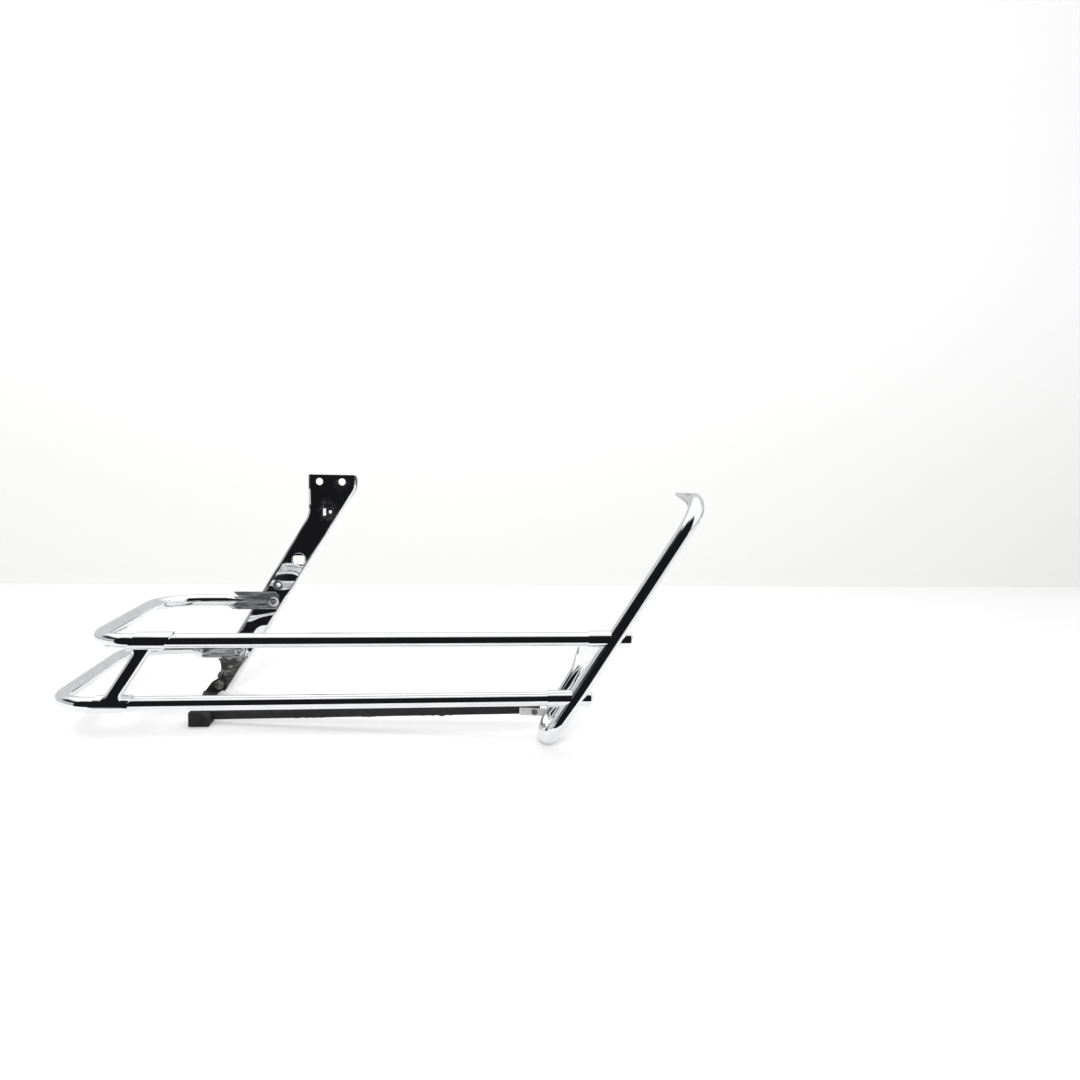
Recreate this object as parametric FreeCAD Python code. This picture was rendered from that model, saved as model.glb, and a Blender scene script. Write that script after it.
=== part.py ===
import FreeCAD, Part
import math
import os
from FreeCAD import Vector as V

os.makedirs("parts", exist_ok=True)

# ---------------------------------------------------------------- dimensions
# Frame: X forward, Y inboard (towards the vehicle), Z up, millimetres.
# Origin: middle of the bracket's two mounting holes, on its inboard face.

# tubes
HOOP_OD = 22.2
HOOP_WALL = 2.0
RAIL_OD = 19.05
RAIL_WALL = 1.65

# rails
RAIL_Y = -320.0            # both rails lie in one upright plane
UPPER_Z = -197.0
LOWER_Z = -278.2
LOWER_SHIFT = -53.0        # the lower rail's flat end sits this far behind the upper one's
RAIL_FRONT = 388.5         # front end of the upper rail, inside its sleeve
LOWER_FRONT = 338.0
REAR_OUT_X = (-261.0, -312.0)    # outer rear corner, upper and lower rail
REAR_IN_X = (-266.3, -315.0)     # inner rear corner
REAR_OUT_R = 50.0
REAR_IN_R = 64.0
FLAT_START = -150.0        # the flattened end begins here
FLAT_END = -82.4
FLAT_H = 29.0
INNER_RISE = (1.9, 3.6)    # the inner run stands this much higher, upper and lower rail
TAIL_TIP = 10.0            # the flat's two tails start this far along
TAIL_NOTCH = 24.0
END_BULGE = 4.5
BEAD_R = 2.2               # bead along both long edges of the flat
BEAD_OUT = 0.55
FLAT_T = 2 * RAIL_WALL
UPPER_SCREW_X = -91.1
LOWER_SCREW_X = -145.0

# front hoop: a plane tilted forward, u along its slope, v along Y
HOOP_X = 410.0             # where the hoop crosses the upper rail
HOOP_SLOPE = 32.3
V_OUT = -2.5               # outer leg
TOP_U = 211.0              # corner of the top bend
TOP_R = 48.0
TAB_U, TAB_V = 229.3, 98.0
TAB_W = 34.0
TAB_T = 2 * HOOP_WALL
BOT_U = -162.5             # lowest axis point of the U bend
BOT_R = 28.5
LEG_V0 = 56.5              # inner leg just above the U bend
FLARE_U, FLARE_V = -74.0, 64.0
FLARE_R = 45.0
TIP_U, TIP_V = -12.0, 95.0
TIP_W = 32.0
TIP_HOLE = 11.5
TIP_HOLE_BACK = 21.0

# sleeves and stubs on the hoop
SLEEVE_OD = 22.9
SLEEVE_BACK = (36.6, 39.0)       # rear end behind the hoop axis, upper and lower
STUB_FRONT = (20.6, 19.4)        # front end ahead of the hoop axis
STUB_BORE = 16.0
CAP_D = 19.8
CAP_H = 4.2
CAP_RIM = 0.8
CAP_FLAT = 1.6
PLUG_CLEAR = 18.8          # the plug's shank stops here, just ahead of the hoop

# rail connector
CON_OD = 23.6
CON_LEN = 44.0
CON_UP_X = -189.5          # middle of each sleeve
CON_LO_X = -240.0
CON_WEB_BACK = 1.0         # the web stands this far behind the middle
CON_WEB = 18.0
CON_WEB_BACK_Y = 6.5       # inner face of the web, from the rails' plane
CON_WEB_FRONT = (6.5, 11.2)     # outer face of it, at its upper and its lower end
CON_EDGE = 5.8             # rounding of the web's long edges

# bracket
SHEET = 3.2
FLANGE = 17.0
HOLE_D = 11.5
HOLE_PITCH = 36.0
BOSS_C = (-51.0, -128.6)
BOSS_D = 23.4
BOSS_H = 1.4
BUSH_C = (-83.7, -169.9)
BUSH_FLANGE = 16.7
BUSH_BORE = 7.6

# rail end screws
SCREW_D = 10.0
SCREW_HEAD = 17.2
SCREW_HEAD_H = 5.0
SCREW_HEX = 6.6
SCREW_CLEAR = 10.6

# bag support rail
BAR_H = 12.0
BAR_T = 8.0
BAR_FRONT = (318.0, -262.2, -315.6)    # outboard lower edge, front end
BAR_REAR = (-152.0, -170.0, -344.5)    # outboard lower edge, rear end
TAB_BOLT = (310.8, -312.6)             # bolt of the front tab, X and Z
FOOT_X = (-179.5, -150.5)
FOOT_Y = (-190.0, -153.0)
FOOT_Z = (-349.0, -328.0)

# ---------------------------------------------------------------- helpers
SIN = math.sin(math.radians(HOOP_SLOPE))
COS = math.cos(math.radians(HOOP_SLOPE))
TAN = SIN / COS


def hp(u, v):
    """A point of the hoop plane."""
    return V(HOOP_X + u * SIN, RAIL_Y + v, UPPER_Z + u * COS)


HOOP_N = V(COS, 0, -SIN)


def unit(a):
    b = V(a)
    b.normalize()
    return b


def path(points, radii):
    """Straight runs joined by tangent arcs, in one wire."""
    edges = []
    cur = points[0]
    for i in range(1, len(points) - 1):
        p, r = points[i], radii[i - 1]
        d0 = unit(p - points[i - 1])
        d1 = unit(points[i + 1] - p)
        turn = math.acos(max(-1.0, min(1.0, d0.dot(d1))))
        t = r * math.tan(turn / 2)
        a = p - d0 * t
        b = p + d1 * t
        bis = unit(d1 - d0)
        c = p + bis * (r / math.cos(turn / 2))
        m = c - bis * r
        if (a - cur).Length > 1e-6:
            edges.append(Part.LineSegment(cur, a).toShape())
        edges.append(Part.Arc(a, m, b).toShape())
        cur = b
    if (points[-1] - cur).Length > 1e-6:
        edges.append(Part.LineSegment(cur, points[-1]).toShape())
    return Part.Wire(edges)


def sweep(wire, r):
    e = wire.Edges[0]
    p = e.valueAt(e.FirstParameter)
    d = e.tangentAt(e.FirstParameter)
    ring = Part.Wire(Part.makeCircle(r, p, d))
    s = wire.makePipeShell([ring], True, False)
    return s if s.ShapeType == "Solid" else Part.makeSolid(s)


def cyl(p, d, r, h):
    return Part.makeCylinder(r, h, V(p), V(d))


def oval(c, w, t, width, thick):
    """Flat oval of four edges, width along w and thickness along t."""
    a = width / 2 - thick / 2
    h = thick / 2
    p1, p2 = c + w * a - t * h, c + w * a + t * h
    p3, p4 = c - w * a + t * h, c - w * a - t * h
    return Part.Wire([
        Part.Arc(p1, c + w * (a + h), p2).toShape(),
        Part.LineSegment(p2, p3).toShape(),
        Part.Arc(p3, c - w * (a + h), p4).toShape(),
        Part.LineSegment(p4, p1).toShape(),
    ])


def ring4(c, w, t, r, split=18.0):
    """Circle broken into four arcs that match the flat oval."""
    k, s = math.cos(math.radians(split)) * r, math.sin(math.radians(split)) * r
    p1, p2 = c + w * k - t * s, c + w * k + t * s
    p3, p4 = c - w * k + t * s, c - w * k - t * s
    return Part.Wire([
        Part.Arc(p1, c + w * r, p2).toShape(),
        Part.Arc(p2, c + t * r, p3).toShape(),
        Part.Arc(p3, c - w * r, p4).toShape(),
        Part.Arc(p4, c - t * r, p1).toShape(),
    ])


def flat_end(start, d, w, od, wall, ease, total, width):
    """A tube end pressed flat over the length ease, then the flat itself;
    returns the outside and the hollow to take out."""
    d = unit(d)
    w = unit(w - d * w.dot(d))
    t = d.cross(w)
    thick = 2 * wall
    r = od / 2
    a = Part.makeLoft([ring4(start, w, t, r), oval(start + d * ease, w, t, width, thick)], True, True)
    face = Part.Face(oval(start + d * ease, w, t, width, thick))
    f = face.extrude(d * (total - ease))
    out = a.fuse(f).removeSplitter()
    hollow = Part.makeLoft([ring4(start, w, t, r - wall), oval(start + d * (ease * 0.85), w, t, width * 0.6, 0.6)], True, True)
    return out, hollow, w, t


def single(s):
    s = s.removeSplitter()
    if s.ShapeType != "Solid" and len(s.Solids) == 1:
        s = s.Solids[0]
    return s


def hexagon(c, n, x, flats, h):
    """Hexagonal prism, n its axis."""
    n = unit(n)
    x = unit(x - n * x.dot(n))
    y = n.cross(x)
    rr = flats / math.sqrt(3)
    pts = [c + x * (rr * math.cos(math.radians(60 * k))) + y * (rr * math.sin(math.radians(60 * k))) for k in range(7)]
    return Part.Face(Part.makePolygon(pts)).extrude(n * h)


def button_head(c, n, d_head, h_head, hexsize, hexdeep):
    """Low domed head standing on its underside at c, n pointing out."""
    n = unit(n)
    edge = 0.9
    rr = d_head / 2
    rise = h_head - edge
    top = rr * 0.47
    x = V(1, 0, 0)
    p0, p1 = V(0, 0, 0), V(rr, 0, 0)
    p2 = V(rr, 0, edge)
    pm = V(rr * 0.82, 0, edge + rise * 0.64)
    p3 = V(top, 0, h_head)
    p4 = V(0, 0, h_head)
    w = Part.Wire([
        Part.LineSegment(p0, p1).toShape(), Part.LineSegment(p1, p2).toShape(),
        Part.Arc(p2, pm, p3).toShape(), Part.LineSegment(p3, p4).toShape(),
        Part.LineSegment(p4, p0).toShape()])
    s = Part.Face(w).revolve(V(0, 0, 0), V(0, 0, 1), 360)
    s = s.cut(hexagon(V(0, 0, h_head - hexdeep), V(0, 0, 1), x, hexsize, hexdeep + 1))
    s.Placement = FreeCAD.Placement(c, FreeCAD.Rotation(V(0, 0, 1), n))
    return s


def place(c, n):
    return FreeCAD.Placement(V(c), FreeCAD.Rotation(V(0, 0, 1), V(n)))


OUT = {}

# ---------------------------------------------------------------- front hoop
t_dir = unit(hp(TAB_U, TAB_V) - hp(TOP_U, V_OUT))
tip_dir = unit(hp(TIP_U, TIP_V) - hp(FLARE_U, FLARE_V))
top_turn = math.acos(unit(hp(TOP_U, V_OUT) - hp(0, V_OUT)).dot(t_dir))
top_start = hp(TOP_U, V_OUT) + t_dir * (TOP_R * math.tan(top_turn / 2) + 2.0)
leg_dir = unit(hp(FLARE_U, FLARE_V) - hp(BOT_U + BOT_R, LEG_V0))
flare_turn = math.acos(leg_dir.dot(tip_dir))
tip_start = hp(FLARE_U, FLARE_V) + tip_dir * (FLARE_R * math.tan(flare_turn / 2) + 1.0)
# corners of the U bend: both sides touch one arc of radius BOT_R
lean = (FLARE_V - LEG_V0) / (FLARE_U - (BOT_U + BOT_R))
corner_in = hp(BOT_U, LEG_V0 - lean * BOT_R)
hoop_path = path(
    [top_start, hp(TOP_U, V_OUT), hp(BOT_U, V_OUT), corner_in, hp(FLARE_U, FLARE_V), tip_start],
    [TOP_R, 27.0, 25.0, FLARE_R])
hoop_out = sweep(hoop_path, HOOP_OD / 2)
hoop_in = sweep(hoop_path, HOOP_OD / 2 - HOOP_WALL)
top_len = (hp(TAB_U, TAB_V) - top_start).Length
top_o, top_h, top_w, top_t = flat_end(top_start, t_dir, V(1, 0, 0), HOOP_OD, HOOP_WALL, 38.0, top_len, TAB_W)
tip_len = (hp(TIP_U, TIP_V) - tip_start).Length
tip_o, tip_h, tip_w, tip_t = flat_end(tip_start, tip_dir, HOOP_N, HOOP_OD, HOOP_WALL, 25.0, tip_len, TIP_W)
# round the end of the lower tab
tip_end = hp(TIP_U, TIP_V)
keep = cyl(tip_end - tip_dir * (TIP_W / 2) - tip_t * 10, tip_t, TIP_W / 2, 20)
block = Part.makeBox(60, 60, 60)
block.translate(V(-30, -30, 0))
block.Placement = FreeCAD.Placement(tip_end - tip_dir * (TIP_W / 2), FreeCAD.Rotation(V(0, 0, 1), tip_dir)).multiply(block.Placement)
trim = block.cut(keep)
tip_o = tip_o.cut(trim)
hoop_solid = single(hoop_out.fuse([top_o, tip_o]))
hoop = single(hoop_solid.cut(hoop_in.fuse([top_h, tip_h])))
tip_hole_c = tip_end - tip_dir * TIP_HOLE_BACK
hoop = hoop.cut(cyl(tip_hole_c - tip_t * 12, tip_t, TIP_HOLE / 2, 24))
top_hole_c = hp(TAB_U, TAB_V) - t_dir * 15.0
hoop = single(hoop.cut(cyl(top_hole_c - top_t * 12, top_t, HOLE_D / 2, 24)))
OUT["front_hoop"] = hoop

# ---------------------------------------------------------------- sleeves, stubs, caps
hoop_core = cyl(hp(-170, V_OUT), V(SIN, 0, COS), HOOP_OD / 2, 340)
for name, z, s_back, s_front in (("upper", UPPER_Z, SLEEVE_BACK[0], STUB_FRONT[0]),
                                 ("lower", LOWER_Z, SLEEVE_BACK[1], STUB_FRONT[1])):
    cx = HOOP_X + (z - UPPER_Z) * TAN
    c = V(cx, RAIL_Y, z)
    back = cyl(c - V(s_back, 0, 0), V(1, 0, 0), SLEEVE_OD / 2, s_back)
    back = back.cut(cyl(c - V(s_back + 1, 0, 0), V(1, 0, 0), RAIL_OD / 2, s_back + 2)).cut(hoop_core)
    back = max(back.Solids, key=lambda s: s.Volume)
    front = cyl(c, V(1, 0, 0), SLEEVE_OD / 2, s_front)
    front = front.cut(cyl(c, V(1, 0, 0), STUB_BORE / 2, s_front + 1)).cut(hoop_core)
    front = max(front.Solids, key=lambda s: s.Volume)
    OUT[name + "_sleeve"] = back
    OUT[name + "_stub"] = front
    # domed plug: short shank in the bore, dome standing on the end face
    sh = PLUG_CLEAR - s_front
    w = Part.Wire([
        Part.LineSegment(V(0, 0, sh), V(STUB_BORE / 2, 0, sh)).toShape(),
        Part.LineSegment(V(STUB_BORE / 2, 0, sh), V(STUB_BORE / 2, 0, 0)).toShape(),
        Part.LineSegment(V(STUB_BORE / 2, 0, 0), V(CAP_D / 2, 0, 0)).toShape(),
        Part.LineSegment(V(CAP_D / 2, 0, 0), V(CAP_D / 2, 0, CAP_RIM)).toShape(),
        Part.Arc(V(CAP_D / 2, 0, CAP_RIM), V(CAP_D / 2 * 0.72, 0, CAP_RIM + (CAP_H - CAP_RIM) * 0.68), V(CAP_FLAT, 0, CAP_H)).toShape(),
        Part.LineSegment(V(CAP_FLAT, 0, CAP_H), V(0, 0, CAP_H)).toShape(),
        Part.LineSegment(V(0, 0, CAP_H), V(0, 0, sh)).toShape()])
    cap = Part.Face(w).revolve(V(0, 0, 0), V(0, 0, 1), 360)
    cap.Placement = place(c + V(s_front, 0, 0), V(1, 0, 0))
    OUT[name + "_plug"] = cap

# ---------------------------------------------------------------- rails
RAIL_IN_Y = -SHEET - FLAT_T / 2      # the flattened end lies on the bracket
RAIL_SOLIDS = []
for name, z, shift, x_front, sx, x_out, x_in, rise in (
        ("upper", UPPER_Z, 0.0, RAIL_FRONT, UPPER_SCREW_X, REAR_OUT_X[0], REAR_IN_X[0], INNER_RISE[0]),
        ("lower", LOWER_Z, LOWER_SHIFT, LOWER_FRONT, LOWER_SCREW_X, REAR_OUT_X[1], REAR_IN_X[1], INNER_RISE[1])):
    zi = z + rise
    start = V(FLAT_START + shift - 14.0, RAIL_IN_Y, zi)
    pth = path([V(x_front, RAIL_Y, z), V(x_out, RAIL_Y, z), V(x_in, RAIL_IN_Y, zi), start],
               [REAR_OUT_R, REAR_IN_R])
    o = sweep(pth, RAIL_OD / 2)
    RAIL_SOLIDS.append(o)
    i = sweep(pth, RAIL_OD / 2 - RAIL_WALL)
    # nose running out into the flat
    ex, ez, ey = V(1, 0, 0), V(0, 0, 1), V(0, -1, 0)
    nose = Part.makeLoft([ring4(start, ez, ey, RAIL_OD / 2), oval(start + ex * 32.0, ez, ey, 5.0, FLAT_T)], True, True)
    void = Part.makeLoft([ring4(start, ez, ey, RAIL_OD / 2 - RAIL_WALL), oval(start + ex * 23.0, ez, ey, 4.0, 0.6)], True, True)
    # flat with two tails and a rounded end
    total = FLAT_END + shift - start.x
    hh = FLAT_H / 2

    def fp2d(q, w):
        return V(start.x + q, RAIL_IN_Y + FLAT_T / 2, zi + w)

    flat_w = Part.Wire([
        Part.LineSegment(fp2d(TAIL_TIP, hh), fp2d(total - END_BULGE, hh)).toShape(),
        Part.Arc(fp2d(total - END_BULGE, hh), fp2d(total, 0), fp2d(total - END_BULGE, -hh)).toShape(),
        Part.LineSegment(fp2d(total - END_BULGE, -hh), fp2d(TAIL_TIP, -hh)).toShape(),
        Part.Arc(fp2d(TAIL_TIP, -hh), fp2d(TAIL_TIP * 0.42, -hh + 2.3), fp2d(-0.5, -RAIL_OD / 2 + 1.0)).toShape(),
        Part.LineSegment(fp2d(-0.5, -RAIL_OD / 2 + 1.0), fp2d(TAIL_NOTCH, 0)).toShape(),
        Part.LineSegment(fp2d(TAIL_NOTCH, 0), fp2d(TAIL_TIP, hh)).toShape()])
    flat = Part.Face(flat_w).extrude(V(0, -FLAT_T, 0))
    beads = []
    for w in (hh - BEAD_R, -hh + BEAD_R):
        c = V(start.x + TAIL_TIP + 3.0, RAIL_IN_Y - BEAD_OUT, zi + w)
        ln = total - END_BULGE - TAIL_TIP - 4.2
        bd_ = cyl(c, ex, BEAD_R, ln)
        beads += [bd_, Part.makeSphere(BEAD_R, c), Part.makeSphere(BEAD_R, c + ex * ln)]
    rail = o.fuse([nose, flat] + beads)
    rail = single(single(rail).cut(i.fuse(void)))
    rail = rail.cut(cyl(V(sx, -20, z), V(0, 1, 0), SCREW_CLEAR / 2, 40))
    # seat for the screw head, clear of the beads
    rail = single(rail.cut(cyl(V(sx, -SHEET - FLAT_T, z), V(0, -1, 0), SCREW_HEAD / 2 + 0.4, 8)))
    OUT[name + "_rail"] = rail

# ---------------------------------------------------------------- rail connector
cu = V(CON_UP_X, RAIL_Y, UPPER_Z)
cl = V(CON_LO_X, RAIL_Y, LOWER_Z)
wd = unit(cu - cl)                     # along the web
wn = V(wd.z, 0, -wd.x)                 # across it, forward
half = CON_LEN / 2
con = None
for c in (cu, cl):
    s = cyl(c - V(half + 20, 0, 0), V(1, 0, 0), CON_OD / 2, CON_LEN + 40)
    for sgn in (1, -1):
        b = Part.makeBox(120, 120, 60, V(-60, -60, 0))
        b.Placement = place(c + V(sgn * half, 0, 0), wn * sgn).multiply(b.Placement)
        s = s.cut(b)
    con = s if con is None else con.fuse(s)
# web: its two sides run into the sleeves over hollow fillets
LW = (cu - cl).Length
hw = CON_WEB / 2
back = V(-CON_WEB_BACK, 0, 0)
z_lo = LOWER_Z + 6.5
z_hi = UPPER_Z - CON_OD / 2 + 0.6


def web_corner(z, q):
    """Where a web side meets the line of a sleeve."""
    a = cl + back + wn * q
    k = (z - a.z) / wd.z
    return V(a.x + wd.x * k, RAIL_Y - CON_OD / 2, z)


def web_side(q, reach_lo, r_lo, reach_hi, r_hi):
    a, b = web_corner(z_lo, q), web_corner(z_hi, q)
    return path([a + V(reach_lo, 0, 0), a, b, b + V(reach_hi, 0, 0)], [r_lo, r_hi])


front_w = web_side(hw, 11.0, 4.0, 9.0, 5.0)
rear_w = web_side(-hw, -10.0, 17.0, -9.0, 4.0)
fa, fb = front_w.Edges[0].valueAt(front_w.Edges[0].FirstParameter), front_w.Edges[-1].valueAt(front_w.Edges[-1].LastParameter)
ra, rb = rear_w.Edges[0].valueAt(rear_w.Edges[0].FirstParameter), rear_w.Edges[-1].valueAt(rear_w.Edges[-1].LastParameter)
dn, up = V(0, 0, -9.0), V(0, 0, 9.0)
web_w = Part.Wire(Part.__sortEdges__(list(front_w.Edges) + list(rear_w.Edges) + [
    Part.LineSegment(fb, fb + up).toShape(), Part.LineSegment(fb + up, rb + up).toShape(),
    Part.LineSegment(rb + up, rb).toShape(), Part.LineSegment(ra, ra + dn).toShape(),
    Part.LineSegment(ra + dn, fa + dn).toShape(), Part.LineSegment(fa + dn, fa).toShape()]))
web = Part.Face(web_w).extrude(V(0, CON_OD / 2 + CON_WEB_BACK_Y, 0))
# the outer face leans out towards the lower sleeve
lean_z = (UPPER_Z - 10.0, LOWER_Z + 4.0)
lean_k = (CON_WEB_FRONT[1] - CON_WEB_FRONT[0]) / (lean_z[0] - lean_z[1])


def lean_pt(z):
    return V(-400, RAIL_Y - CON_WEB_FRONT[0] - (lean_z[0] - z) * lean_k, z)


z_a, z_b = LOWER_Z - 30.0, UPPER_Z + 30.0
wedge = Part.Face(Part.makePolygon([lean_pt(z_a), lean_pt(z_b), V(-400, RAIL_Y - 60, z_b), V(-400, RAIL_Y - 60, z_a), lean_pt(z_a)]))
web = single(web.cut(wedge.extrude(V(400, 0, 0))))
side = []
for e in web.Edges:
    ends = (e.Vertexes[0].Point, e.Vertexes[-1].Point)
    if math.hypot(ends[0].x - ends[1].x, ends[0].z - ends[1].z) < 0.3:
        continue
    pts3 = [V(q.x, RAIL_Y - CON_OD / 2, q.z) for q in (*ends, e.valueAt((e.FirstParameter + e.LastParameter) / 2))]
    for wv in (front_w, rear_w):
        if all(wv.distToShape(Part.Vertex(q))[0] < 1e-3 for q in pts3):
            side.append(e)
            break
web = web.makeFillet(CON_EDGE, side)
con = con.fuse(web)
for c in (cu, cl):
    con = con.cut(cyl(c - V(half - 8, 0, 0), V(1, 0, 0), RAIL_OD / 2, 200))
for solid in RAIL_SOLIDS:
    con = con.cut(solid)
con = max(con.Solids, key=lambda q: q.Volume)
OUT["rail_connector"] = single(con)

# ---------------------------------------------------------------- bracket
TOP_Z = 11.4
TOP_X = (-36.2, 41.2)      # rear and front upper corners
REAR_SLOPE = 0.593
FRONT_SLOPE = 0.604


def offset_line(pts, d):
    """Offset an open polyline sideways by d (to its left), mitred."""
    out = []
    n = len(pts)
    for k in range(n):
        if k == 0:
            a = unit(pts[1] - pts[0])
            out.append(pts[0] + V(-a.z, 0, a.x) * d)
        elif k == n - 1:
            a = unit(pts[-1] - pts[-2])
            out.append(pts[-1] + V(-a.z, 0, a.x) * d)
        else:
            a = unit(pts[k] - pts[k - 1])
            b = unit(pts[k + 1] - pts[k])
            na, nb = V(-a.z, 0, a.x), V(-b.z, 0, b.x)
            m = unit(na + nb)
            out.append(pts[k] + m * (d / m.dot(na)))
    return out


def xz(x, z, y=0.0):
    return V(x, y, z)


def on_rear(z):
    return xz(-60.3 - REAR_SLOPE * (-96.0 - z), z)


def on_front(z):
    return xz(-10.4 - FRONT_SLOPE * (-95.6 - z), z)


rear_corner = xz(-35.2, -96.0 + (60.3 - 35.2) / REAR_SLOPE)
front_corner = xz(41.0, -95.6 + (41.0 + 10.4) / FRONT_SLOPE)
REAR_R, FRONT_R = 57.0, 24.0
BEND_R = 5.5               # outside of the turned edges
BEND_IN = 2.2              # inside of them
FLANGE_END = -338.0        # the front flange stops here
REAR_FLANGE_END = -293.0


def side_wire(pts, r):
    return path(pts, [r])


def profile(y, inset, top, rear_end, front_end):
    """Closed outline between the two long edges, moved in by inset."""
    rp = [xz(TOP_X[0], top), rear_corner, on_rear(rear_end)]
    fp = [xz(TOP_X[1], top), front_corner, on_front(front_end)]
    rp = offset_line(rp, inset)
    fp = offset_line(fp, -inset)
    rp = [V(p.x, y, p.z) for p in rp]
    fp = [V(p.x, y, p.z) for p in fp]
    rw = path(rp, [REAR_R + inset])
    fw = path(fp, [FRONT_R - min(inset, FRONT_R - 6)])
    return rw, fw, rp, fp


# the plate with its turned edges: a shallow tray, then hollowed
rw, fw, rp, fp = profile(-SHEET, 0.0, TOP_Z, -292.0, FLANGE_END)
low_pts = [rp[-1], V(-175.2, -SHEET, -310.9), V(-180.0, -SHEET, -322.0), V(-172.0, -SHEET, -346.5), V(-165.5, -SHEET, -343.0), fp[-1]]
edges = list(rw.Edges)
for k in range(len(low_pts) - 1):
    edges.append(Part.LineSegment(low_pts[k], low_pts[k + 1]).toShape())
edges += list(fw.Edges)
edges.append(Part.LineSegment(fp[0], rp[0]).toShape())
outer = Part.Wire(Part.__sortEdges__(edges))
tray = Part.Face(outer).extrude(V(0, SHEET + FLANGE, 0))
# bend radius along both long edges of the outboard face
bend = []
for e in tray.Edges:
    if all(abs(v.Point.y + SHEET) < 1e-6 for v in e.Vertexes):
        m = e.valueAt((e.FirstParameter + e.LastParameter) / 2)
        for wv in (rw, fw):
            if wv.distToShape(Part.Vertex(m))[0] < 1e-4:
                bend.append(e)
                break
tray = tray.makeFillet(BEND_R, bend)
# hollow: same edges moved in by the sheet, open at the top and the lower end
rw2, fw2, rp2, fp2 = profile(0.0, SHEET, TOP_Z + 20, -440.0, -440.0)
edges = list(rw2.Edges) + [Part.LineSegment(rp2[-1], fp2[-1]).toShape()] + list(fw2.Edges) + [Part.LineSegment(fp2[0], rp2[0]).toShape()]
inner = Part.Wire(Part.__sortEdges__(edges))
hollow = Part.Face(inner).extrude(V(0, FLANGE + 20, 0))
hedges = []
for e in hollow.Edges:
    if all(abs(v.Point.y) < 1e-6 for v in e.Vertexes):
        m = e.valueAt((e.FirstParameter + e.LastParameter) / 2)
        for wv in (rw2, fw2):
            if wv.distToShape(Part.Vertex(m))[0] < 1e-4:
                hedges.append(e)
                break
hollow = hollow.makeFillet(BEND_IN, hedges)
plate = tray.cut(hollow)
# the flanges end square; below them only the flat plate goes on
plate = plate.cut(Part.makeBox(200, 40, 200, V(-330, 0.0, REAR_FLANGE_END - 200)).cut(
    Part.makeBox(400, 60, 400, V(on_rear(REAR_FLANGE_END).x + 14, -10, -500))))
plate = plate.cut(Part.makeBox(400, 40, 200, V(-330, 0.0, FLANGE_END + 4 - 200)))
# slot boss, holes, window
boss = cyl(V(BOSS_C[0], -SHEET - BOSS_H, BOSS_C[1]), V(0, 1, 0), BOSS_D / 2, BOSS_H + SHEET)
boss = boss.makeFillet(0.9, [e for e in boss.Edges if all(abs(v.Point.y + SHEET + BOSS_H) < 1e-6 for v in e.Vertexes)])
plate = single(plate.fuse(boss))
slot = Part.makeBox(19.0, 40, 14.8, V(BOSS_C[0] - 9.5, -20, BOSS_C[1] - 7.4))
slot = slot.makeFillet(4.2, [e for e in slot.Edges if abs(e.Vertexes[0].Point.y - e.Vertexes[-1].Point.y) > 1])
plate = plate.cut(slot)
for sx in (-HOLE_PITCH / 2, HOLE_PITCH / 2):
    plate = plate.cut(cyl(V(sx, -20, 0), V(0, 1, 0), HOLE_D / 2, 40))
window = Part.makeBox(18.2, 12, 16.4, V(-13.2, -10, -58.0))
window = window.makeFillet(1.5, [e for e in window.Edges if abs(e.Vertexes[0].Point.y - e.Vertexes[-1].Point.y) > 1])
plate = plate.cut(window)
plate = plate.cut(cyl(V(BUSH_C[0], -20, BUSH_C[1]), V(0, 1, 0), 5.6, 40))
plate = plate.cut(cyl(V(UPPER_SCREW_X, -20, UPPER_Z), V(0, 1, 0), SCREW_CLEAR / 2, 30))
plate = plate.cut(cyl(V(LOWER_SCREW_X, -20, LOWER_Z), V(0, 1, 0), SCREW_CLEAR / 2, 30))
ARM_BOLT = V(-176.8, 0, -333.5)
plate = plate.cut(cyl(ARM_BOLT - V(0, 20, 0), V(0, 1, 0), 4.3, 30))
plate = single(plate)
if plate.ShapeType != "Solid":
    plate = max(plate.Solids, key=lambda s: s.Volume)
# rounded upper corners
for cx, sgn, r in ((TOP_X[1], 1, 5.0), (TOP_X[0], -1, 2.5)):
    bite = Part.makeBox(r + 5, 60, r + 5, V(cx - r if sgn > 0 else cx - 5, -30, TOP_Z - r))
    bite = bite.cut(cyl(V(cx - sgn * r, -30, TOP_Z - r), V(0, 1, 0), r, 60))
    plate = plate.cut(bite)
plate = single(plate)
OUT["rear_bracket"] = plate

# clip nut behind the window
cage = Part.makeBox(22.4, 1.2, 24.0, V(-17.0, 0.0, -62.0))
cage = cage.cut(cyl(V(-1.2, -2, -49.6), V(0, 1, 0), 3.3, 6))
cage = cage.cut(Part.makeBox(4.6, 4, 11.6, V(-12.6, -1, -55.6)))
cage = max(cage.cut(plate).Solids, key=lambda q: q.Volume)
OUT["clip_nut_cage"] = single(cage)
nut = Part.makeBox(9.6, 5.0, 11.0, V(-6.0, 1.2, -55.1)).cut(cyl(V(-1.2, -2, -49.6), V(0, 1, 0), 2.6, 12))
OUT["clip_nut"] = single(nut)

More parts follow.
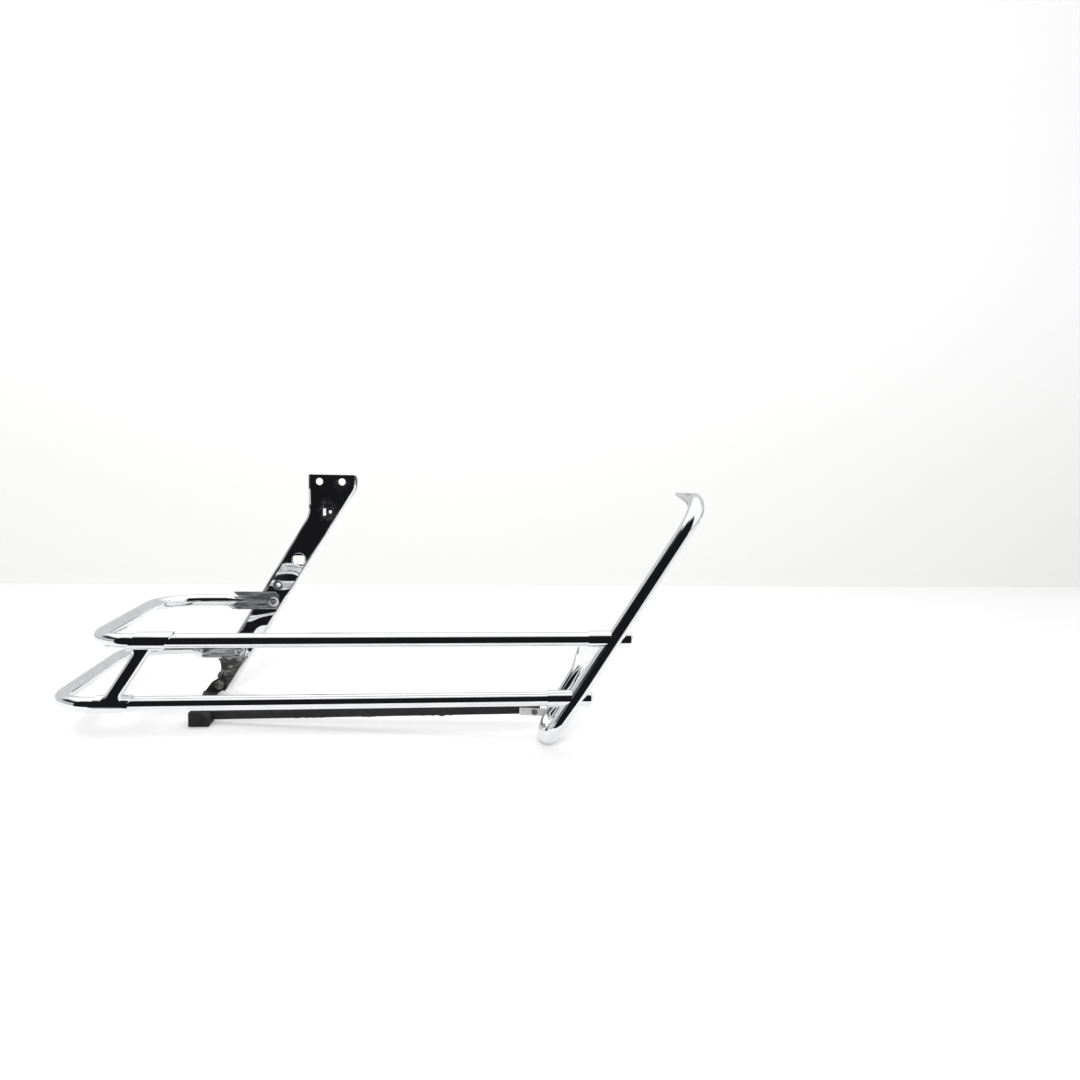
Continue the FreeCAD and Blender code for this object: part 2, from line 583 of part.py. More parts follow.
# threaded bushing
bw = Part.Wire([
    Part.LineSegment(V(BUSH_BORE / 2, 0, 0), V(BUSH_FLANGE / 2 - 0.6, 0, 0)).toShape(),
    Part.Arc(V(BUSH_FLANGE / 2 - 0.6, 0, 0), V(BUSH_FLANGE / 2 - 0.18, 0, 0.18), V(BUSH_FLANGE / 2, 0, 0.6)).toShape(),
    Part.LineSegment(V(BUSH_FLANGE / 2, 0, 0.6), V(BUSH_FLANGE / 2, 0, 1.6)).toShape(),
    Part.LineSegment(V(BUSH_FLANGE / 2, 0, 1.6), V(5.6, 0, 1.6)).toShape(),
    Part.LineSegment(V(5.6, 0, 1.6), V(5.6, 0, 16)).toShape(),
    Part.LineSegment(V(5.6, 0, 16), V(BUSH_BORE / 2, 0, 16)).toShape(),
    Part.LineSegment(V(BUSH_BORE / 2, 0, 16), V(BUSH_BORE / 2, 0, 0)).toShape()])
bush = Part.Face(bw).revolve(V(0, 0, 0), V(0, 0, 1), 360)
bush.Placement = place((BUSH_C[0], -SHEET - 1.6, BUSH_C[1]), (0, 1, 0))
OUT["threaded_bushing"] = bush

# ---------------------------------------------------------------- rail end fasteners
for name, sx, z in (("upper", UPPER_SCREW_X, UPPER_Z), ("lower", LOWER_SCREW_X, LOWER_Z)):
    y0 = -SHEET - FLAT_T
    head = button_head(V(sx, y0, z), V(0, -1, 0), SCREW_HEAD, SCREW_HEAD_H, SCREW_HEX, 3.0)
    shank = cyl(V(sx, y0, z), V(0, 1, 0), SCREW_D / 2, 3 + FLAT_T + SHEET + 9.6)
    OUT[name + "_end_screw"] = single(head.fuse(shank))
    washer = cyl(V(sx, 0, z), V(0, 1, 0), 7.4, 1.6).cut(cyl(V(sx, -1, z), V(0, 1, 0), 5.2, 4))
    OUT[name + "_end_washer"] = single(washer)
    nutb = hexagon(V(sx, 1.6, z), V(0, 1, 0), V(1, 0, 0), 16.0, 8.0).cut(cyl(V(sx, 0, z), V(0, 1, 0), SCREW_D / 2, 12))
    cone = Part.makeCone(8.4, 9.6, 1.2, V(sx, 1.6, z), V(0, 1, 0)).fuse(cyl(V(sx, 2.8, z), V(0, 1, 0), 9.6, 5.6)).fuse(
        Part.makeCone(9.6, 8.4, 1.2, V(sx, 8.4, z), V(0, 1, 0)))
    OUT[name + "_end_nut"] = single(nutb.common(cone))

# ---------------------------------------------------------------- bag support rail
bf, br = V(*BAR_FRONT), V(*BAR_REAR)
bd = unit(br - bf)
side_dir = unit(V(-bd.y, bd.x, 0))     # level, across the bar, inboard
if side_dir.y < 0:
    side_dir = side_dir * -1
up_dir = unit(bd.cross(side_dir))
if up_dir.z < 0:
    up_dir = up_dir * -1
pts = [bf, bf + side_dir * BAR_T, bf + side_dir * BAR_T + up_dir * BAR_H, bf + up_dir * BAR_H, bf]
bar = Part.Face(Part.makePolygon(pts)).extrude(br - bf)
bar = bar.makeFillet(1.6, [e for e in bar.Edges if abs(unit(e.tangentAt(e.FirstParameter)).dot(bd)) > 0.99])
tb = V(TAB_BOLT[0], 0, TAB_BOLT[1])
# outboard face of the bar at the bolt
k = (tb.x - bf.x) / bd.x
on_bar = bf + bd * k
bar_y = on_bar.y
bn = side_dir * -1                     # outboard normal of the bar
bolt_c = V(tb.x, bar_y, tb.z)
bar = single(bar.cut(cyl(bolt_c + bn * 20, bn * -1, 2.75, 60)))
OUT["support_rail"] = bar

# front tab: flat, welded to the rear of the inner leg, lying on the bar
TAB_PT = 3.6
TAB_HT = 10.0
tab_dir = unit(V(bd.x, bd.y, 0)) * -1  # forward along the bar, level
tb0 = bolt_c - tab_dir * 21.5
tp = [tb0 + V(0, 0, -TAB_HT / 2), tb0 + tab_dir * 52 + V(0, 0, -TAB_HT / 2),
      tb0 + tab_dir * 52 + V(0, 0, TAB_HT / 2), tb0 + V(0, 0, TAB_HT / 2)]
tp.append(tp[0])
bn_level = bn
tab = Part.Face(Part.makePolygon(tp)).extrude(bn_level * TAB_PT)
tab = tab.cut(cyl(bolt_c + bn * 20, bn * -1, 2.75, 60))
tab = tab.cut(hoop_solid)
tab = max(tab.Solids, key=lambda s: s.Volume)
OUT["support_tab"] = tab

# its bolt, washer and nut
head_base = bolt_c + bn_level * TAB_PT
bolt = button_head(head_base, bn_level, 9.0, 3.0, 3.2, 1.8)
bolt = single(bolt.fuse(cyl(head_base, bn_level * -1, 2.5, TAB_PT + BAR_T + 7.0)))
OUT["support_bolt"] = bolt
inner_c = bolt_c + side_dir * BAR_T
washer = cyl(inner_c, bn_level * -1, 5.2, 1.0).cut(cyl(inner_c + bn_level, bn_level * -1, 2.5, 4))
OUT["support_washer"] = single(washer)
nut = hexagon(inner_c - bn_level * 1.0, bn_level * -1, V(0, 0, 1), 8.0, 4.5).cut(cyl(inner_c, bn_level * -1, 2.5, 20))
OUT["support_nut"] = single(nut)

# rear foot: block with a sloped upper front corner
fx0, fx1 = FOOT_X
fz0, fz1 = FOOT_Z
fy0, fy1 = FOOT_Y
fp_ = [V(fx0, fy0, fz0), V(fx1, fy0, fz0), V(fx1, fy0, fz1 - 8.5), V(fx1 - 13.5, fy0, fz1), V(fx0, fy0, fz1)]
fp_.append(fp_[0])
foot = Part.Face(Part.makePolygon(fp_)).extrude(V(0, fy1 - fy0, 0))
foot = foot.makeFillet(1.6, foot.Edges)
foot = foot.cut(bar)
foot = max(foot.Solids, key=lambda s: s.Volume)

# arm from the bracket's lower end out to the foot
ARM_T = 4.0
ay = -SHEET                             # it lies on the plate's outboard face
arm_pts = [V(-171.0, ay, -318.5), V(-166.0, ay, -340.0), V(-181.0, ay, -348.6), V(-203.0, ay, -348.6), V(-189.7, ay, -329.9)]
arm_pts.append(arm_pts[0])
arm_tab = Part.Face(Part.makePolygon(arm_pts)).extrude(V(0, -ARM_T, 0))
lo = Part.makePolygon([V(-203.0, ay, -348.6), V(-181.0, ay, -348.6), V(-181.0, ay, -344.6), V(-203.0, ay, -344.6), V(-203.0, ay, -348.6)])
hi = Part.makePolygon([V(fx0 + 4, fy1 - 14, -342.0), V(fx1 - 4, fy1 - 14, -342.0), V(fx1 - 4, fy1 - 14, -338.0), V(fx0 + 4, fy1 - 14, -338.0), V(fx0 + 4, fy1 - 14, -342.0)])
strap = Part.makeLoft([Part.Wire(lo), Part.Wire(hi)], True, True)
arm = arm_tab.fuse(strap).cut(bar)
arm = arm.cut(cyl(ARM_BOLT - V(0, 30, 0), V(0, 1, 0), 4.3, 40))
arm = single(arm)
if arm.ShapeType != "Solid":
    arm = max(arm.Solids, key=lambda s: s.Volume)
OUT["support_arm"] = arm
OUT["support_foot"] = single(foot.cut(arm))

bolt_y = ay - ARM_T
rear_bolt = hexagon(V(ARM_BOLT.x, bolt_y - 1.6, ARM_BOLT.z), V(0, -1, 0), V(1, 0, 0.4), 13.0, 5.3)
rear_bolt = rear_bolt.fuse(cyl(V(ARM_BOLT.x, bolt_y - 1.6, ARM_BOLT.z), V(0, 1, 0), 4.0, 1.6 + ARM_T + SHEET + 9.0))
OUT["arm_bolt"] = single(rear_bolt)
OUT["arm_washer"] = single(cyl(V(ARM_BOLT.x, bolt_y, ARM_BOLT.z), V(0, -1, 0), 7.8, 1.6).cut(
    cyl(V(ARM_BOLT.x, bolt_y + 1, ARM_BOLT.z), V(0, -1, 0), 4.2, 4)))
OUT["arm_nut"] = single(hexagon(V(ARM_BOLT.x, 0, ARM_BOLT.z), V(0, 1, 0), V(1, 0, 0.4), 13.0, 6.5).cut(
    cyl(V(ARM_BOLT.x, -1, ARM_BOLT.z), V(0, 1, 0), 4.0, 20)))

for name, s in OUT.items():
    s = s.copy()
    print(name, s.ShapeType, "solids", len(s.Solids), "valid", s.isValid(), "vol %.0f" % s.Volume)
    s.exportStep("parts/%s.step" % name)
print("hoop section x length", math.pi * ((HOOP_OD / 2) ** 2 - (HOOP_OD / 2 - HOOP_WALL) ** 2) * hoop_path.Length, "hoop path", hoop_path.Length)
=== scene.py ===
import math
import random

import bmesh
import bpy
from mathutils import Matrix, Vector


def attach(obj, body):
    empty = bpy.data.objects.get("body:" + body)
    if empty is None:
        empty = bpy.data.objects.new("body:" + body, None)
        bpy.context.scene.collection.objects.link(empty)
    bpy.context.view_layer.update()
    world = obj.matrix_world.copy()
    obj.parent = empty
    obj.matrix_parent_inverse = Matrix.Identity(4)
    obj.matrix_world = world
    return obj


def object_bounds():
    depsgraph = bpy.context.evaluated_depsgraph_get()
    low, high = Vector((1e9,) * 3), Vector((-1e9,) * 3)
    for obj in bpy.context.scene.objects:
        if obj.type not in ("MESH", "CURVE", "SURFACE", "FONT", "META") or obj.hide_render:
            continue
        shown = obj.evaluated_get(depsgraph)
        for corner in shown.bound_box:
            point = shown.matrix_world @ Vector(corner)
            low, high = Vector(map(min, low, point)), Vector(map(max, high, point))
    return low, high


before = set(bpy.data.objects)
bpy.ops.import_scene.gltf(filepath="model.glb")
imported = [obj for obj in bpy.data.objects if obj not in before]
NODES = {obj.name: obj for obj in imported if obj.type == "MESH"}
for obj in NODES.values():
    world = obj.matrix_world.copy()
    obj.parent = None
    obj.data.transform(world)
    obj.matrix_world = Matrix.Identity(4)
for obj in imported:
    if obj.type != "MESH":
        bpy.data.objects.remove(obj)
CAD_BOX = [list(v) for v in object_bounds()]
SKY = 0.74                 # even light from all round
# painted shade: the wall's colour runs from a darker grey at its foot to near white at the top, standing in for
# less light reaching its lower part
WALL_SHADE_FOOT, WALL_LIT_TOP = (0.86, 0.865, 0.85), (0.97, 0.97, 0.97)


# ------------------------------------------------------------------ node helpers
class Tree:
    """A few short words for wiring shader nodes."""

    def __init__(self, tree):
        self.t = tree
        tree.nodes.clear()

    def new(self, kind, **props):
        n = self.t.nodes.new(kind)
        for k, v in props.items():
            setattr(n, k, v)
        return n

    def put(self, sock, v):
        if isinstance(v, bpy.types.NodeSocket):
            self.t.links.new(v, sock)
        else:
            sock.default_value = v

    def math(self, op, a, b=None, c=None, clamp=False):
        n = self.new("ShaderNodeMath", operation=op, use_clamp=clamp)
        for i, v in enumerate((a, b, c)):
            if v is not None:
                self.put(n.inputs[i], v)
        return n.outputs[0]

    def step(self, x, lo, hi, out_lo=0.0, out_hi=1.0):
        n = self.new("ShaderNodeMapRange", interpolation_type="SMOOTHSTEP")
        n.clamp = True
        for i, v in enumerate((x, lo, hi, out_lo, out_hi)):
            self.put(n.inputs[i], v)
        return n.outputs[0]

    def mix(self, f, a, b, blend="MIX"):
        n = self.new("ShaderNodeMix", data_type="RGBA", blend_type=blend)
        self.put(n.inputs[0], f)
        for s, v in ((n.inputs[6], a), (n.inputs[7], b)):
            if isinstance(v, (int, float)):
                v = (v, v, v, 1.0)
            elif isinstance(v, tuple) and len(v) == 3:
                v = (*v, 1.0)
            self.put(s, v)
        return n.outputs[2]

    def mixf(self, f, a, b):
        n = self.new("ShaderNodeMix", data_type="FLOAT")
        self.put(n.inputs[0], f)
        self.put(n.inputs[2], a)
        self.put(n.inputs[3], b)
        return n.outputs[0]

    def noise(self, vec, scale, detail=3.0, rough=0.5, dist=0.0):
        n = self.new("ShaderNodeTexNoise")
        self.put(n.inputs["Vector"], vec)
        n.inputs["Scale"].default_value = scale
        n.inputs["Detail"].default_value = detail
        n.inputs["Roughness"].default_value = rough
        n.inputs["Distortion"].default_value = dist
        return n.outputs["Fac"]

    def scaled(self, vec, s, rot=(0, 0, 0), loc=(0, 0, 0)):
        n = self.new("ShaderNodeMapping")
        self.put(n.inputs["Vector"], vec)
        n.inputs["Scale"].default_value = s
        n.inputs["Rotation"].default_value = rot
        n.inputs["Location"].default_value = loc
        return n.outputs[0]

    def near(self, pos, c, radii, inner=0.6):
        """1 inside an ellipsoid round c, fading to 0 at its edge."""
        d = self.new("ShaderNodeVectorMath", operation="SUBTRACT")
        self.put(d.inputs[0], pos)
        d.inputs[1].default_value = c
        m = self.new("ShaderNodeVectorMath", operation="DIVIDE")
        self.put(m.inputs[0], d.outputs[0])
        m.inputs[1].default_value = radii
        ln = self.new("ShaderNodeVectorMath", operation="LENGTH")
        self.put(ln.inputs[0], m.outputs[0])
        return self.step(ln.outputs["Value"], inner, 1.0, 1.0, 0.0)

    def bump(self, height, strength, dist, normal=None):
        n = self.new("ShaderNodeBump")
        n.inputs["Strength"].default_value = strength
        n.inputs["Distance"].default_value = dist
        self.put(n.inputs["Height"], height)
        if normal is not None:
            self.put(n.inputs["Normal"], normal)
        return n.outputs[0]


def material(name, metallic=0.0):
    m = bpy.data.materials.new(name)
    m.use_nodes = True
    t = Tree(m.node_tree)
    out = t.new("ShaderNodeOutputMaterial")
    sh = t.new("ShaderNodeBsdfPrincipled")
    t.put(out.inputs["Surface"], sh.outputs[0])
    sh.inputs["Metallic"].default_value = metallic
    co = t.new("ShaderNodeTexCoord")
    pos = co.outputs["Object"]
    return m, t, sh, pos


# ------------------------------------------------------------------ finishes
def chrome_tube():
    m, t, sh, pos = material("chrome_tube", 1.0)
    smear = t.noise(pos, 26.0, 4.0, 0.6, 0.4)
    fine = t.noise(t.scaled(pos, (140, 900, 900)), 1.0, 3.0, 0.65)
    specks = t.step(t.noise(pos, 900.0, 2.0, 0.5), 0.745, 0.785)
    flat = t.math("ADD", t.near(pos, (-0.112, -0.005, -0.1951), (0.0435, 0.02, 0.05), 0.86),
                  t.near(pos, (-0.165, -0.005, -0.2746), (0.0435, 0.02, 0.05), 0.86), clamp=True)
    drawn = t.noise(t.scaled(pos, (22, 260, 260)), 1.0, 3.0, 0.6)
    col = t.mix(t.step(smear, 0.35, 0.7), (0.845, 0.85, 0.86), (0.775, 0.785, 0.80))
    col = t.mix(t.math("MULTIPLY", specks, 0.5), col, (0.30, 0.30, 0.31))
    col = t.mix(flat, col, t.mix(t.step(drawn, 0.35, 0.68), (0.20, 0.205, 0.215), (0.52, 0.525, 0.54)))
    t.put(sh.inputs["Base Color"], col)
    r = t.step(smear, 0.42, 0.8, 0.02, 0.055)
    r = t.math("ADD", r, t.step(fine, 0.55, 0.85, 0.0, 0.04))
    r = t.math("ADD", r, t.math("MULTIPLY", flat, t.step(drawn, 0.3, 0.7, 0.12, 0.20)))
    t.put(sh.inputs["Roughness"], r)
    b = t.bump(t.noise(pos, 60.0, 2.0), 0.05, 0.002)
    b = t.bump(t.math("MULTIPLY", flat, drawn), 0.25, 0.0022, b)
    t.put(sh.inputs["Normal"], b)
    return m


def chrome_plate():
    """Bracket: mirror chrome, scuffed round its upper holes, caked and dull at its lower end."""
    m, t, sh, pos = material("chrome_plate", 1.0)
    smear = t.noise(pos, 22.0, 4.0, 0.6, 0.5)
    grain = t.noise(pos, 420.0, 3.0, 0.6)
    low = t.step(t.math("ADD", t.new_z(pos), t.math("MULTIPLY", t.noise(pos, 90.0, 3.0), 0.024)), -0.284, -0.272, 1.0, 0.0)
    xyz = t.new("ShaderNodeSeparateXYZ")
    t.put(xyz.inputs[0], pos)
    off = t.math("SUBTRACT", t.math("SUBTRACT", xyz.outputs[0], 0.04734), t.math("MULTIPLY", xyz.outputs[2], 0.604))
    low = t.math("MULTIPLY", low, t.step(off, -0.0092, -0.0068, 1.0, 0.0))      # the front edge stays bright
    cake = t.noise(pos, 75.0, 5.0, 0.62, 0.8)
    scuff = t.math("ADD", t.near(pos, (-0.004, -0.004, -0.046), (0.024, 0.02, 0.026), 0.5),
                   t.near(pos, (0.017, -0.004, -0.004), (0.018, 0.02, 0.016), 0.45), clamp=True)
    scuff = t.math("MULTIPLY", scuff, t.step(t.noise(pos, 120.0, 4.0, 0.6), 0.30, 0.72, 0.25, 1.0))
    col = t.mix(t.step(smear, 0.35, 0.75), (0.83, 0.835, 0.845), (0.75, 0.76, 0.775))
    col = t.mix(scuff, col, (0.62, 0.62, 0.63))
    crust = t.mix(t.step(cake, 0.50, 0.70), (0.030, 0.029, 0.028), (0.30, 0.295, 0.285))
    col = t.mix(low, col, crust)
    t.put(sh.inputs["Base Color"], col)
    t.put(sh.inputs["Metallic"], t.math("SUBTRACT", 1.0, t.math("MULTIPLY", low, 0.9)))
    r = t.step(smear, 0.45, 0.85, 0.02, 0.07)
    r = t.math("ADD", r, t.math("MULTIPLY", scuff, 0.30))
    r = t.math("ADD", r, t.math("MULTIPLY", low, 0.5))
    t.put(sh.inputs["Roughness"], r)
    b = t.bump(t.noise(pos, 30.0, 0.0), 0.55, 0.0032)
    b = t.bump(t.math("MULTIPLY", t.math("ADD", t.math("MULTIPLY", low, 2.2), scuff), grain), 0.4, 0.0006, b)
    t.put(sh.inputs["Normal"], b)
    return m


def zinc():
    m, t, sh, pos = material("zinc_steel", 1.0)
    n = t.noise(pos, 160.0, 4.0, 0.6)
    fine = t.noise(pos, 900.0, 3.0, 0.6)
    t.put(sh.inputs["Base Color"], t.mix(t.step(n, 0.35, 0.7), (0.62, 0.62, 0.63), (0.40, 0.395, 0.39)))
    t.put(sh.inputs["Roughness"], t.step(n, 0.3, 0.75, 0.22, 0.42))
    t.put(sh.inputs["Normal"], t.bump(fine, 0.25, 0.0003))
    return m


def dull_bolt():
    m, t, sh, pos = material("dull_bolt", 0.9)
    n = t.noise(pos, 240.0, 4.0, 0.6)
    t.put(sh.inputs["Base Color"], t.mix(t.step(n, 0.35, 0.7), (0.16, 0.16, 0.165), (0.30, 0.295, 0.29)))
    t.put(sh.inputs["Roughness"], t.step(n, 0.3, 0.75, 0.30, 0.5))
    t.put(sh.inputs["Normal"], t.bump(t.noise(pos, 900.0, 3.0, 0.6), 0.25, 0.0003))
    return m


def bare_steel():
    m, t, sh, pos = material("bare_steel", 0.55)
    n = t.noise(pos, 90.0, 5.0, 0.65)
    streak = t.noise(t.scaled(pos, (120, 900, 900)), 1.0, 3.0, 0.6)
    t.put(sh.inputs["Base Color"], t.mix(t.step(n, 0.35, 0.7), (0.80, 0.80, 0.79), (0.60, 0.595, 0.58)))
    t.put(sh.inputs["Roughness"], t.step(streak, 0.3, 0.75, 0.42, 0.6))
    t.put(sh.inputs["Normal"], t.bump(streak, 0.15, 0.0004))
    return m


def black_coat():
    m, t, sh, pos = material("black_coat", 0.0)
    n = t.noise(pos, 130.0, 5.0, 0.7)
    fine = t.noise(pos, 700.0, 4.0, 0.7)
    dust = t.step(t.noise(pos, 300.0, 5.0, 0.7), 0.56, 0.74)
    col = t.mix(t.step(n, 0.35, 0.7), (0.010, 0.010, 0.011), (0.022, 0.022, 0.022))
    col = t.mix(t.math("MULTIPLY", dust, 0.5), col, (0.075, 0.072, 0.068))
    t.put(sh.inputs["Base Color"], col)
    t.put(sh.inputs["Roughness"], t.step(n, 0.3, 0.75, 0.58, 0.82))
    sh.inputs["Specular IOR Level"].default_value = 0.3
    t.put(sh.inputs["Normal"], t.bump(fine, 0.6, 0.0006))
    return m


def black_rubber():
    m, t, sh, pos = material("black_rubber", 0.0)
    n = t.noise(pos, 150.0, 4.0, 0.6)
    fine = t.noise(pos, 1100.0, 3.0, 0.6)
    t.put(sh.inputs["Base Color"], t.mix(t.step(n, 0.35, 0.7), (0.008, 0.008, 0.008), (0.018, 0.018, 0.018)))
    t.put(sh.inputs["Roughness"], t.step(n, 0.3, 0.75, 0.62, 0.85))
    sh.inputs["Specular IOR Level"].default_value = 0.3
    t.put(sh.inputs["Normal"], t.bump(fine, 0.35, 0.0004))
    return m


def crust_mat():
    m, t, sh, pos = material("caked_dirt", 0.0)
    n = t.noise(pos, 260.0, 5.0, 0.7)
    t.put(sh.inputs["Base Color"], t.mix(t.step(n, 0.42, 0.68), (0.028, 0.027, 0.026), (0.24, 0.235, 0.225)))
    t.put(sh.inputs["Roughness"], t.step(n, 0.3, 0.75, 0.6, 0.9))
    t.put(sh.inputs["Normal"], t.bump(t.noise(pos, 700.0, 4.0, 0.7), 0.6, 0.0008))
    return m


def _new_z(self, pos):
    s = self.new("ShaderNodeSeparateXYZ")
    self.put(s.inputs[0], pos)
    return s.outputs[2]


Tree.new_z = _new_z

MATS = {
    "tube": chrome_tube(), "plate": chrome_plate(), "zinc": zinc(), "bolt": dull_bolt(),
    "bare": bare_steel(), "crust": crust_mat(), "coat": black_coat(), "rubber": black_rubber(),
}
USE = {"rear_bracket": "plate", "support_tab": "bare", "support_rail": "coat", "support_arm": "coat",
       "support_foot": "rubber", "arm_bolt": "crust", "arm_washer": "crust", "support_bolt": "bolt"}
TUBES = {"front_hoop", "upper_sleeve", "lower_sleeve", "upper_stub", "lower_stub", "upper_plug", "lower_plug",
         "upper_rail", "lower_rail", "rail_connector", "threaded_bushing"}
for name, obj in NODES.items():
    mat = MATS["tube" if name in TUBES else USE.get(name, "zinc")]
    if obj.material_slots:
        for s in obj.material_slots:
            s.material = mat
    else:
        obj.data.materials.append(mat)

# ------------------------------------------------------------------ small added pieces
rng = random.Random(7)


def ragged(name, line, thick, side, depth, mat, step=0.0016):
    """Torn strip: follows a line, its free edge standing out unevenly along side."""
    line = [Vector(p) for p in line]
    side = Vector(side).normalized()
    verts, faces = [], []
    h = depth * 0.4
    for k in range(len(line) - 1):
        a, b = line[k], line[k + 1]
        n = max(2, int((b - a).length / step))
        for q in range(n):
            p = a.lerp(b, q / n)
            h += rng.uniform(-0.42, 0.42) * depth
            h = min(max(h, 0.0), depth)
            f = rng.uniform(0.7, 1.0)
            th = Vector(thick) * 0.5 * f
            verts += [p - th - side * 0.0012, p - th * 0.8 + side * h, p + th * 0.8 + side * h * rng.uniform(0.6, 1.0), p + th - side * 0.0012]
    m = len(verts) // 4
    for k in range(m - 1):
        i, j = 4 * k, 4 * (k + 1)
        for c in range(4):
            d = (c + 1) % 4
            faces.append((i + c, i + d, j + d, j + c))
    faces.append((0, 3, 2, 1))
    e = 4 * (m - 1)
    faces.append((e, e + 1, e + 2, e + 3))
    me = bpy.data.meshes.new(name)
    me.from_pydata([tuple(v) for v in verts], [], faces)
    me.validate()
    bm = bmesh.new()
    bm.from_mesh(me)
    bmesh.ops.recalc_face_normals(bm, faces=bm.faces)
    bm.to_mesh(me)
    bm.free()
    me.materials.append(mat)
    o = bpy.data.objects.new(name, me)
    bpy.context.scene.collection.objects.link(o)
    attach(o, "root")
    return o


BAR_F, BAR_R = Vector((0.2975, -0.2540, -0.3165)), Vector((-0.1480, -0.1666, -0.3438))
for k, (q0, q1, dep) in enumerate(((0.18, 0.34, 0.0022), (0.45, 0.52, 0.0014), (0.63, 0.74, 0.0012))):
    ragged("bar_crumbs_%d" % k, [BAR_F.lerp(BAR_R, q0), BAR_F.lerp(BAR_R, q1)], (0.0, 0.005, 0.0),
           (0, 0, -1), dep, MATS["coat"])
EDGE = [(-0.1763, -0.0016, -0.2920), (-0.1752, -0.0016, -0.3109), (-0.1800, -0.0016, -0.3220), (-0.1745, -0.0016, -0.3390)]
ragged("caked_edge", EDGE, (0.0, 0.0048, 0.0), (-1, 0, 0.25), 0.0042, MATS["crust"])

# ------------------------------------------------------------------ stage
FLOOR_Z = CAD_BOX[0][2] - 0.0005
WALL_Y = 1.30
EDGE_Y = -0.455            # the chrome sees the pale floor only behind this line
R = 0.03


def strip(name, prof, mat, glossy):
    verts, faces = [], []
    for y, z in prof:
        verts += [(-8.0, y, z), (8.0, y, z)]
    for k in range(len(prof) - 1):
        faces.append((2 * k, 2 * k + 1, 2 * k + 3, 2 * k + 2))
    me = bpy.data.meshes.new(name)
    me.from_pydata(verts, [], faces)
    for p in me.polygons:
        p.use_smooth = True
    me.materials.append(mat)
    o = bpy.data.objects.new(name, me)
    bpy.context.scene.collection.objects.link(o)
    o.visible_glossy = glossy
    return o


paper, st, ssh, spos = material("stage_paper")
grain = st.noise(spos, 3.0, 2.0)
st.put(ssh.inputs["Base Color"], st.mix(grain, (0.92, 0.92, 0.92), (0.94, 0.94, 0.94)))
ssh.inputs["Roughness"].default_value = 0.9
ssh.inputs["Emission Color"].default_value = (1.0, 1.0, 1.0, 1.0)
ssh.inputs["Emission Strength"].default_value = 0.05
ssh.inputs["Specular IOR Level"].default_value = 0.0
wallm, st, ssh, spos = material("stage_wall")
# painted shade: wall colour darker towards the floor, lighter higher up
st.put(ssh.inputs["Base Color"], st.mix(st.step(st.new_z(spos), FLOOR_Z, 0.9), WALL_SHADE_FOOT, WALL_LIT_TOP))
ssh.inputs["Roughness"].default_value = 0.9
ssh.inputs["Emission Color"].default_value = (1.0, 1.0, 1.0, 1.0)
ssh.inputs["Emission Strength"].default_value = 0.03
ssh.inputs["Specular IOR Level"].default_value = 0.0
strip("stage_floor_front", [(-6.0, FLOOR_Z), (EDGE_Y, FLOOR_Z)], paper, False)
strip("stage_floor", [(EDGE_Y, FLOOR_Z), (WALL_Y - R, FLOOR_Z)], paper, True)
prof = []
for k in range(0, 13):
    a = math.radians(90.0 * k / 12)
    prof.append((WALL_Y - R + R * math.sin(a), FLOOR_Z + R - R * math.cos(a)))
prof.append((WALL_Y, 6.0))
strip("stage_wall", prof, wallm, False)

# ------------------------------------------------------------------ light
world = bpy.data.worlds.new("studio")
bpy.context.scene.world = world
world.use_nodes = True
w = Tree(world.node_tree)
wo = w.new("ShaderNodeOutputWorld")
bg = w.new("ShaderNodeBackground")
w.put(wo.inputs["Surface"], bg.outputs[0])
tc = w.new("ShaderNodeTexCoord")
sep = w.new("ShaderNodeSeparateXYZ")
w.put(sep.inputs[0], tc.outputs["Generated"])
dx, dy, dz = sep.outputs
az = w.math("ARCTAN2", dx, w.math("MULTIPLY", dy, -1.0))      # 0 towards -Y, + towards +X
el = w.math("ARCSINE", dz)
D = math.radians
# open room in front, unlit, with the ceiling light above it
low_side = w.step(az, D(-60), D(-54))
high_side = w.step(az, D(-112), D(-96))
high = w.math("MULTIPLY", w.step(el, D(10), D(27)), w.step(el, D(33), D(52), 1.0, 0.0))
left = w.mixf(high, low_side, high_side)
side = w.math("MULTIPLY", left, w.step(az, D(31), D(37), 1.0, 0.0))
dark = w.math("MULTIPLY", side, w.step(el, D(46), D(68), 1.0, 0.0))
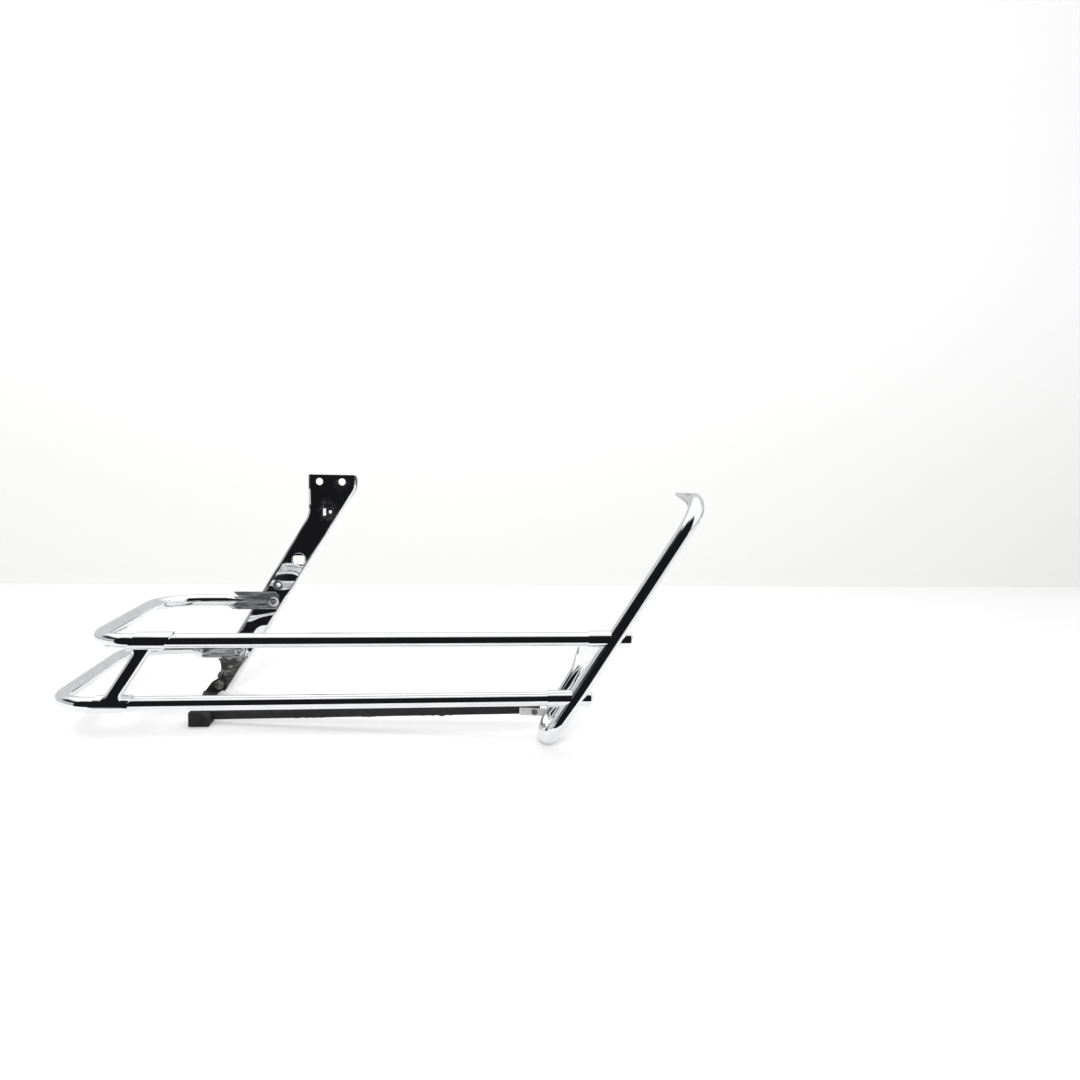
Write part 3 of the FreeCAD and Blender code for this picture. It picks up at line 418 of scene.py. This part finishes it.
# pale walls behind and beside, brighter on the right, a dark skirting line at their foot, bright ceiling
rear = w.step(w.math("ABSOLUTE", az), D(112), D(128))
wall = w.mix(w.math("MULTIPLY", w.step(az, D(34), D(44)), w.step(az, D(104), D(122), 1.0, 0.0)), (0.69, 0.695, 0.70), (1.15, 1.15, 1.15))
room = w.mix(w.step(el, D(-4), D(-1)), (0.95, 0.95, 0.95), wall)
room = w.mix(w.step(el, D(28), D(52)), room, (1.35, 1.35, 1.35))
foot = w.mixf(rear, D(2.6), 0.0)
lift = w.math("SUBTRACT", el, foot)
line = w.math("MULTIPLY", w.step(lift, D(-5.4), D(-4.4)), w.step(lift, D(-1.8), D(-0.8), 1.0, 0.0))
room = w.mix(line, room, (0.09, 0.09, 0.095))
room = w.mix(dark, room, (0.011, 0.011, 0.013))
lp = w.new("ShaderNodeLightPath")
col = w.mix(lp.outputs["Is Glossy Ray"], (SKY, SKY, SKY), room)
w.put(bg.inputs["Color"], col)
bg.inputs["Strength"].default_value = 1.0


def area(name, loc, target, size, power, glossy=False):
    d = bpy.data.lights.new(name, "AREA")
    d.shape = "RECTANGLE"
    d.size, d.size_y = size
    d.energy = power
    o = bpy.data.objects.new(name, d)
    bpy.context.scene.collection.objects.link(o)
    o.location = loc
    o.rotation_mode = "QUATERNION"
    o.rotation_quaternion = (Vector(target) - Vector(loc)).to_track_quat("-Z", "Y")
    o.visible_glossy = glossy
    return o


area("light_top", (0.1, 0.5, 2.4), (0.1, 0.55, -0.3), (3.4, 1.6), 15.0)
area("light_front", (0.1, -2.45, 1.06), (0.1, -0.25, -0.35), (0.60, 0.60), 30.0)

# ------------------------------------------------------------------ camera
cam = bpy.data.cameras.new("camera")
cam.sensor_width = 36.0
cam.lens = 29.41
cam.clip_start, cam.clip_end = 0.01, 100.0
cobj = bpy.data.objects.new("camera", cam)
bpy.context.scene.collection.objects.link(cobj)
right = Vector((0.99226, -0.12239, 0.02098))
up = Vector((-0.00996, 0.08997, 0.99590))
fwd = Vector((0.12377, 0.98840, -0.08805))
cobj.matrix_world = Matrix((
    (right.x, up.x, -fwd.x, 0.16128),
    (right.y, up.y, -fwd.y, -1.47433),
    (right.z, up.z, -fwd.z, 0.03916),
    (0, 0, 0, 1)))
bpy.context.scene.camera = cobj
bpy.context.scene.view_settings.view_transform = "Standard"
